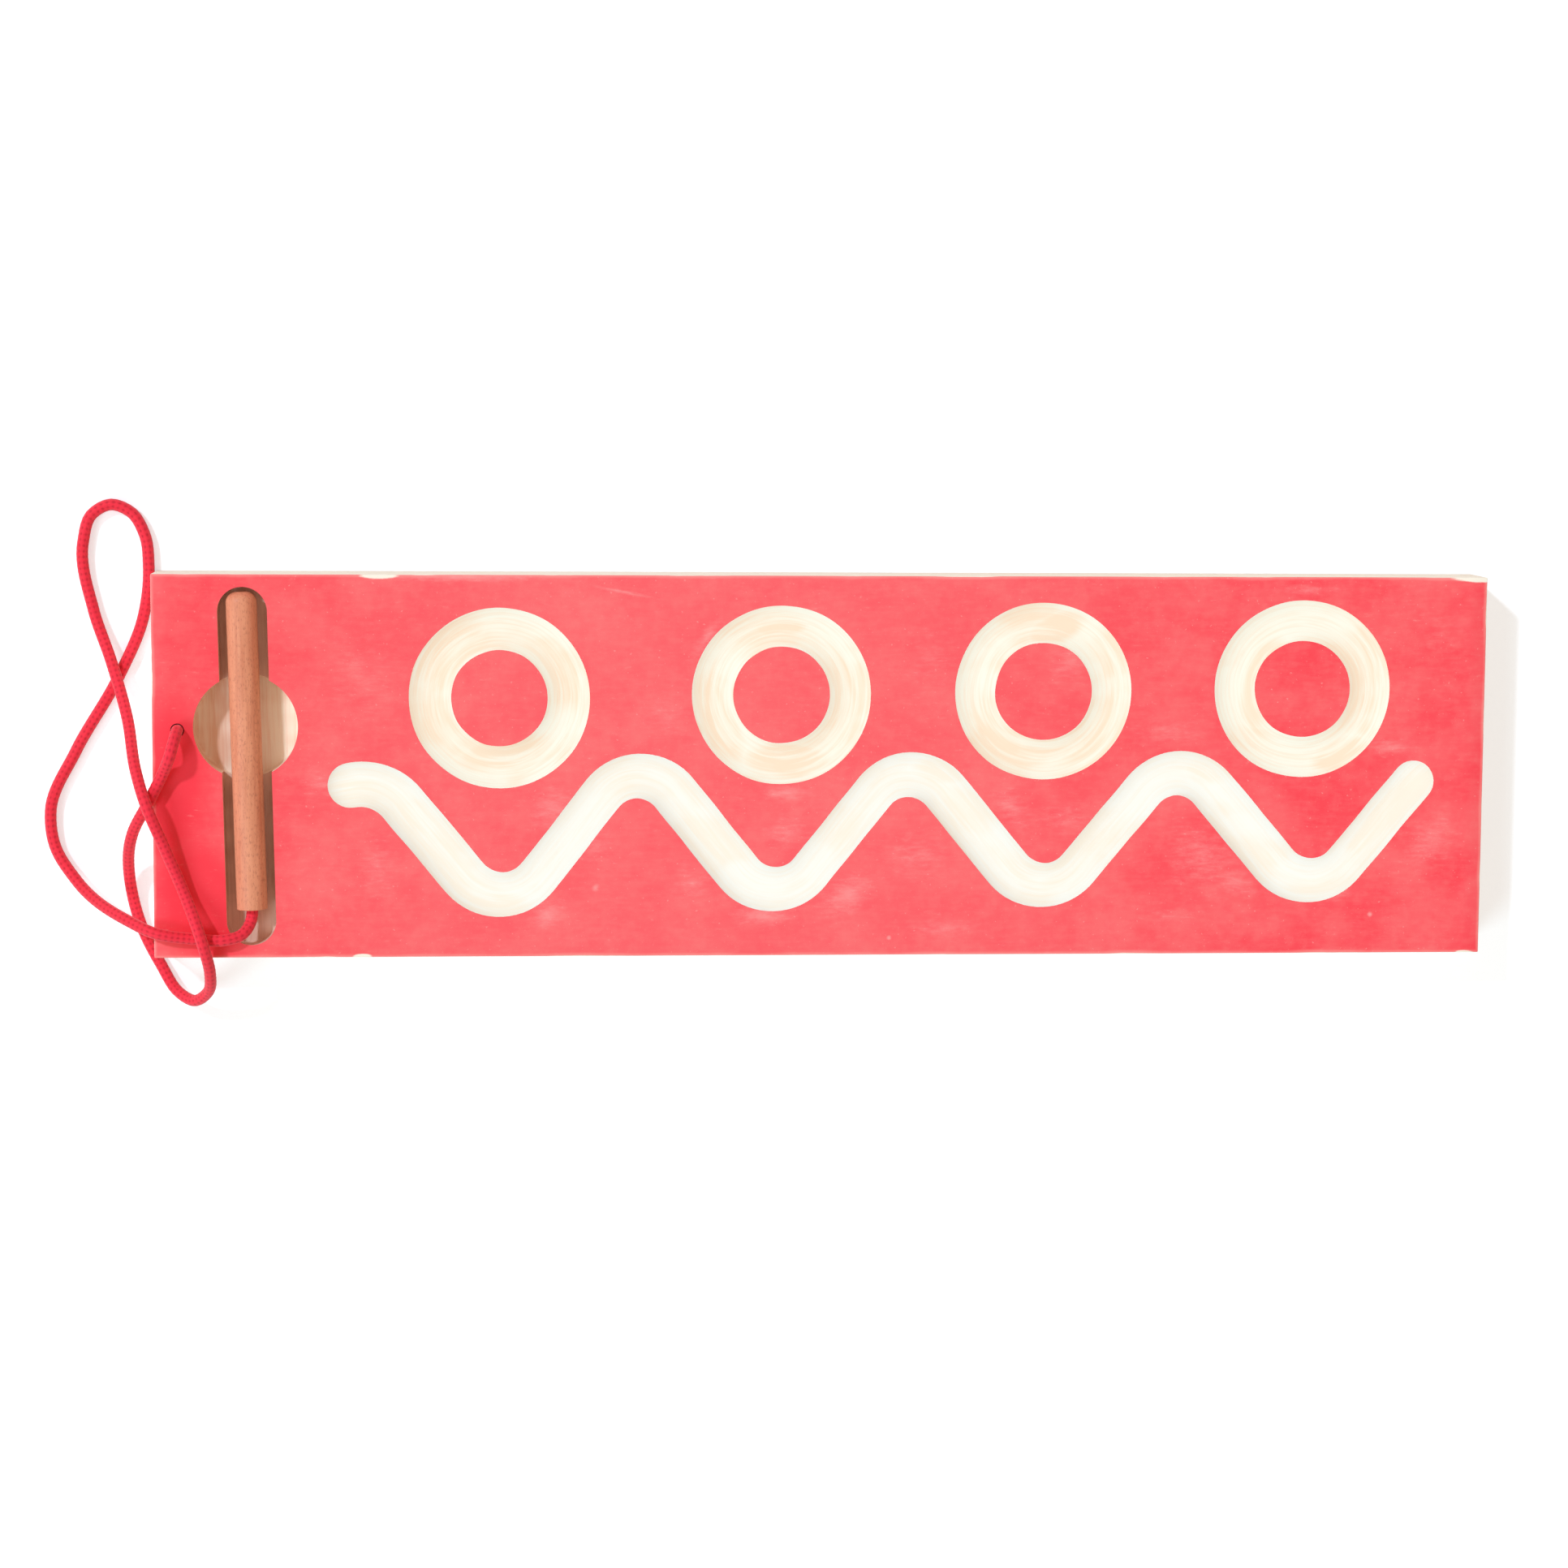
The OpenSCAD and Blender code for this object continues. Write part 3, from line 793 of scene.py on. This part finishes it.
def plank_finish():
    """Pale flat-sawn wood: growth rings round a heart below the plank, and fine fibres lengthwise."""
    wood = Finish("bare_plank", Specular_IOR_Level=0.25)
    warp = wood.speckle(wood.place(scale=(4, 22, 22)), detail=2)
    across = wood.place(scale=(0, 1, 1), shift=(0, -heart_offset, heart_depth))
    radius = wood.add("VectorMath", {0: across}, output=1, operation="LENGTH")
    grown = wood.sum("MULTIPLY", radius, half_rings_per_metre)
    years = wood.sum("ADD", grown, wood.sum("MULTIPLY", warp, 5))
    late = wood.between(wood.sum("PINGPONG", years, 1), 0.55, 1)
    fibres = wood.speckle(wood.place(scale=(35, 1500, 1500)), detail=4, roughness=0.6)
    flecks = wood.speckle(wood.place(scale=(260, 2600, 2600)), detail=2)
    shades = wood.speckle(wood.place(scale=(5, 18, 18)), detail=2)
    ground = wood.mix(wood.between(fibres, 0.3, 0.7), tone(255, 241, 224), tone(255, 249, 237))
    ringed = wood.mix(wood.sum("MULTIPLY", late, 0.4), ground, tone(250, 226, 198))
    flecked = wood.mix(wood.between(flecks, 0.58, 0.72, 0, 0.35), ringed, tone(206, 168, 124))
    colour = wood.mix(wood.between(shades, 0.35, 0.7, 0, 0.3), flecked, tone(250, 230, 202))
    height = wood.sum("ADD", fibres, wood.sum("MULTIPLY", late, -0.4))
    return wood.done(
        Base_Color=colour,
        Roughness=wood.between(fibres, 0.25, 0.75, 0.62, 0.8),
        Normal=wood.bump(height, 0.07 * mm, 0.6),
    )


board = cut_out(piece("board_plank", plank_part(keep_above=False), plank_finish()))
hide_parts("board")
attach(board, "board")

# Face paint. One thin coat of coral red, wiped on before the grooves were cut, so it ends cleanly
# at each of them. It is thin over the grain, rubbed pale in places and sanded off at the edges.
# Where the cord's shadow falls on it, a deeper red is painted: a painted shadow, with the cord's red
# bounce light.
scuffs = [
    # mm right of the board's middle, mm up from it, half length, half width, turn, strength
    (-121, 24, 13, 17, 0, 0.25), (-132, -4, 7, 7, 0, 0.35), (-117, -26, 7, 12, 0, 0.35),
    (-72, -11, 9, 7, 50, 0.5), (-61, -21, 7, 6, 50, 0.35), (-73, -39, 7, 5, 30, 0.6),
    (-60.3, -31.9, 1.6, 1.2, 40, 0.8), (-35, -31, 9, 7, -45, 0.35), (-16, -39.3, 11, 4, 0, 0.65),
    (-10.5, -7, 9, 3, 0, 0.6), (-10.5, -17, 8, 6, 0, 0.45), (-31.5, 33.5, 9, 2.5, 55, 0.5),
    (-42, 13, 9, 9, 0, 0.3), (-53, 45.6, 12, 0.8, -11, 0.6), (-93, 49.3, 28, 1.6, 0, 0.7),
    (27, 28, 9, 13, 0, 0.25), (64, 27, 8, 8, 0, 0.4), (49, -11, 10, 6, -50, 0.45),
    (64, -14, 11, 6, 0, 0.35), (6, -34, 11, 7, 30, 0.6), (24, -24, 13, 9, 0, 0.35),
    (31, -43, 12, 4, 0, 0.4), (100, -24, 14, 12, -45, 0.45), (109, -31, 9, 5, -30, 0.45),
    (92, -40, 10, 3, 0, 0.3), (91, 9, 13, 5, 0, 0.35), (127, 46.6, 12, 2, 0, 0.5),
    (150, 5, 9, 3, 0, 0.5), (161, -20, 9, 12, -30, 0.45), (137, -34, 7, 3, 30, 0.4),
    (145.5, -39.7, 1, 1, 0, 1), (17, -45.4, 0.9, 0.9, 0, 1), (162, 35, 11, 11, 0, 0.2),
]
worn_edges = [
    # mm right of the board's middle, mm up from it, half length, half width
    (174, 49.9, 11, 1.5), (-116.5, 49.8, 6, 1.2), (-121, -49.8, 3, 0.9), (171, -50, 3, 0.8),
]
# Painted shadow of the cord on the paint, a deeper red that also stands for the red light the cord
# throws.
painted_cord_shadows = [
    # the same, then the turn and the strength
    (-171, -4, 34, 15, 85, 1), (-163, -34, 24, 17, -68, 1), (-162, 32, 50, 34, 0, 0.24),
]
palest_x = -30 * mm


def paint_finish():
    """Coral paint on wood: clouded, finely streaked, scuffed by the grooves, bare at the edges, with a
    painted cord shadow.
    """
    paint = Finish("coral_paint", Specular_IOR_Level=0.3)
    where = paint.place()
    x = paint.add("SeparateXYZ", {0: where}, output=0)
    y = paint.add("SeparateXYZ", {0: where}, output=1)
    clouds = paint.speckle(paint.place(scale=(36, 44, 1)), detail=5, roughness=0.62)
    mottle = paint.speckle(paint.place(scale=(230, 290, 1)), detail=5, roughness=0.65)
    lengthwise = paint.speckle(paint.place(scale=(170, 760, 1)), detail=4, roughness=0.65)
    crosswise = paint.speckle(paint.place(scale=(330, 270, 1)), detail=3, roughness=0.6)
    brushed = paint.speckle(paint.place(scale=(240, 760, 1)), detail=6, roughness=0.7)
    dust = paint.speckle(paint.place(scale=(1200, 1200, 1)), detail=1)

    from_palest = paint.sum("ABSOLUTE", paint.sum("SUBTRACT", x, palest_x))
    middle = paint.between(from_palest, 30 * mm, 170 * mm, 1, 0)
    ground = paint.mix(middle, tone(255, 70, 82), tone(255, 96, 102))
    clouded = paint.mix(paint.between(clouds, 0.36, 0.68, 0, 0.62), ground, tone(255, 122, 121))
    mottled = paint.mix(paint.between(mottle, 0.35, 0.75, 0, 0.4), clouded, tone(255, 84, 94))
    weave = paint.sum("MULTIPLY", paint.sum("ADD", lengthwise, crosswise), 0.5)
    woven = paint.mix(paint.between(weave, 0.42, 0.64, 0, 0.2), mottled, tone(255, 134, 130))
    dusty = paint.mix(paint.between(dust, 0.68, 0.8, 0, 0.5), woven, tone(255, 158, 155))

    def strongest(spots):
        total = 0.0
        for *place, strength in spots:
            mark = paint.sum("MULTIPLY", paint.spot(where, *place), strength)
            total = paint.sum("MAXIMUM", total, mark)
        return total

    # Painted shadow: a deeper red where the cord's shadow falls.
    cord_shadow_share = paint.between(strongest(painted_cord_shadows), 0, 0.6, 0, 0.9)
    cord_shaded = paint.mix(cord_shadow_share, dusty, tone(255, 50, 68))
    torn = paint.between(paint.sum("ADD", strongest(scuffs), brushed), 0.55, 1.4, 0, 0.6)
    scuffed = paint.mix(torn, cord_shaded, tone(255, 176, 172))

    from_end = paint.sum("SUBTRACT", board_length / 2, paint.sum("ABSOLUTE", x))
    from_side = paint.sum("SUBTRACT", board_width / 2, paint.sum("ABSOLUTE", y))
    from_edge = paint.sum("MINIMUM", from_end, from_side)
    sanding = paint.speckle(paint.place(scale=(40, 60, 1)), detail=4)
    ragged = paint.between(sanding, 0.3, 0.75, -0.3 * mm, 0.3 * mm)
    from_sanded = paint.sum("SUBTRACT", from_edge, ragged)
    thinned = paint.between(from_sanded, 0.1 * mm, 1.1 * mm, 0.5, 0)
    edged = paint.mix(thinned, scuffed, tone(255, 168, 160))
    bare = paint.between(from_sanded, -0.05 * mm, 0.12 * mm, 1, 0)
    for place in worn_edges:
        frayed = paint.sum("ADD", paint.spot(where, *place), paint.sum("MULTIPLY", brushed, 0.5))
        bare = paint.sum("MAXIMUM", bare, paint.between(frayed, 0.3, 0.65))
    colour = paint.mix(bare, edged, tone(255, 246, 228))

    coat = paint.sum("ADD", paint.sum("MULTIPLY", mottle, 0.6), paint.sum("MULTIPLY", weave, 0.7))
    return paint.done(
        Base_Color=colour,
        Roughness=paint.between(mottle, 0.3, 0.75, 0.48, 0.66),
        Normal=paint.bump(coat, 0.05 * mm, 0.6),
    )


coat = cut_out(piece("paint_coat", plank_part(keep_above=True), paint_finish()))
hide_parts("face_paint")
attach(coat, "board")
for cutter in cutters:
    bpy.data.objects.remove(cutter)

# Floor and light. A white sheet of paper under the board, a soft cool lamp on the far left, a weaker
# one on the near left, and an even warm room, which together come to white. The sheet glows for the
# eye, and keeps the shadows on it. It is clear from below and open under the board, to show its back.
sheet_size = 6.0
sheet_lap = 0.3 * mm
paper_shade = (0.75, 0.75, 0.75, 1)
paper_bounce = (0.85, 0.85, 0.85, 1)
paper_glow = (0.45, 0.48, 0.505, 1)
key_share = 0.4
fill_share = 0.26
room_share = 0.56
key_tint = (0.69, 0.83, 1)
fill_tint = (0.62, 0.86, 1)
room_tint = (1, 0.82, 0.66, 1)
key_direction = Vector((0.54, -0.46, -0.7))
fill_direction = Vector((0.6, 0.45, -0.66))
key_softness = 4.5
fill_softness = 25


def paper_finish():
    """White paper, which looks white to the eye and in gloss, and throws plain light back elsewhere."""
    paper = bpy.data.materials.new("white_paper")
    paper.use_nodes = True
    tree = paper.node_tree
    tree.nodes.clear()
    seen = tree.nodes.new("ShaderNodeLightPath").outputs
    either = tree.nodes.new("ShaderNodeMath")
    either.operation = "MAXIMUM"
    tree.links.new(seen["Is Camera Ray"], either.inputs[0])
    tree.links.new(seen["Is Glossy Ray"], either.inputs[1])
    any_view = tree.nodes.new("ShaderNodeMath")
    any_view.operation = "MAXIMUM"
    tree.links.new(either.outputs[0], any_view.inputs[0])
    tree.links.new(seen["Is Transmission Ray"], any_view.inputs[1])
    plain = tree.nodes.new("ShaderNodeBsdfDiffuse")
    plain.inputs["Color"].default_value = paper_bounce
    shade = tree.nodes.new("ShaderNodeBsdfDiffuse")
    shade.inputs["Color"].default_value = paper_shade
    glow = tree.nodes.new("ShaderNodeEmission")
    glow.inputs["Color"].default_value = paper_glow
    white = tree.nodes.new("ShaderNodeAddShader")
    tree.links.new(shade.outputs[0], white.inputs[0])
    tree.links.new(glow.outputs[0], white.inputs[1])
    mix = tree.nodes.new("ShaderNodeMixShader")
    tree.links.new(any_view.outputs[0], mix.inputs[0])
    tree.links.new(plain.outputs[0], mix.inputs[1])
    tree.links.new(white.outputs[0], mix.inputs[2])
    one_sided = tree.nodes.new("ShaderNodeMixShader")
    geometry = tree.nodes.new("ShaderNodeNewGeometry")
    clear = tree.nodes.new("ShaderNodeBsdfTransparent")
    tree.links.new(geometry.outputs["Backfacing"], one_sided.inputs[0])
    tree.links.new(mix.outputs[0], one_sided.inputs[1])
    tree.links.new(clear.outputs[0], one_sided.inputs[2])
    out = tree.nodes.new("ShaderNodeOutputMaterial")
    tree.links.new(one_sided.outputs[0], out.inputs["Surface"])
    return paper


sheet = bmesh.new()
bmesh.ops.create_grid(sheet, x_segments=3, y_segments=3, size=sheet_size / 2)
for vert in sheet.verts:
    if abs(vert.co.x) < sheet_size / 4:
        vert.co.x = math.copysign(board_length / 2 - sheet_lap, vert.co.x)
    if abs(vert.co.y) < sheet_size / 4:
        vert.co.y = math.copysign(board_width / 2 - sheet_lap, vert.co.y)
under_board = min(sheet.faces, key=lambda face: face.calc_center_median().length)
bmesh.ops.delete(sheet, geom=[under_board], context="FACES_ONLY")
paper_sheet = piece("paper_sheet", sheet, paper_finish())

for name, share, tint, direction, softness in (
    ("key_lamp", key_share, key_tint, key_direction, key_softness),
    ("fill_lamp", fill_share, fill_tint, fill_direction, fill_softness),
):
    lamp = bpy.data.lights.new(name, "SUN")
    lamp.energy = share * math.pi / -direction.normalized().z
    lamp.color = tint
    lamp.angle = math.radians(softness)
    holder = bpy.data.objects.new(name, lamp)
    holder.rotation_euler = direction.to_track_quat("-Z", "Y").to_euler()
    bpy.context.scene.collection.objects.link(holder)

room = bpy.data.worlds.new("room")
room.use_nodes = True
room_nodes = room.node_tree.nodes
room_links = room.node_tree.links
room_light = room_nodes["Background"]
room_light.inputs["Color"].default_value = room_tint
room_light.inputs["Strength"].default_value = room_share
room_white = room_nodes.new("ShaderNodeBackground")
room_white.inputs["Color"].default_value = (1, 1, 1, 1)
room_seen = room_nodes.new("ShaderNodeLightPath")
room_mix = room_nodes.new("ShaderNodeMixShader")
room_links.new(room_seen.outputs["Is Camera Ray"], room_mix.inputs[0])
room_links.new(room_light.outputs[0], room_mix.inputs[1])
room_links.new(room_white.outputs[0], room_mix.inputs[2])
room_links.new(room_mix.outputs[0], room_nodes["World Output"].inputs["Surface"])
bpy.context.scene.world = room
bpy.context.scene.view_settings.view_transform = "Standard"
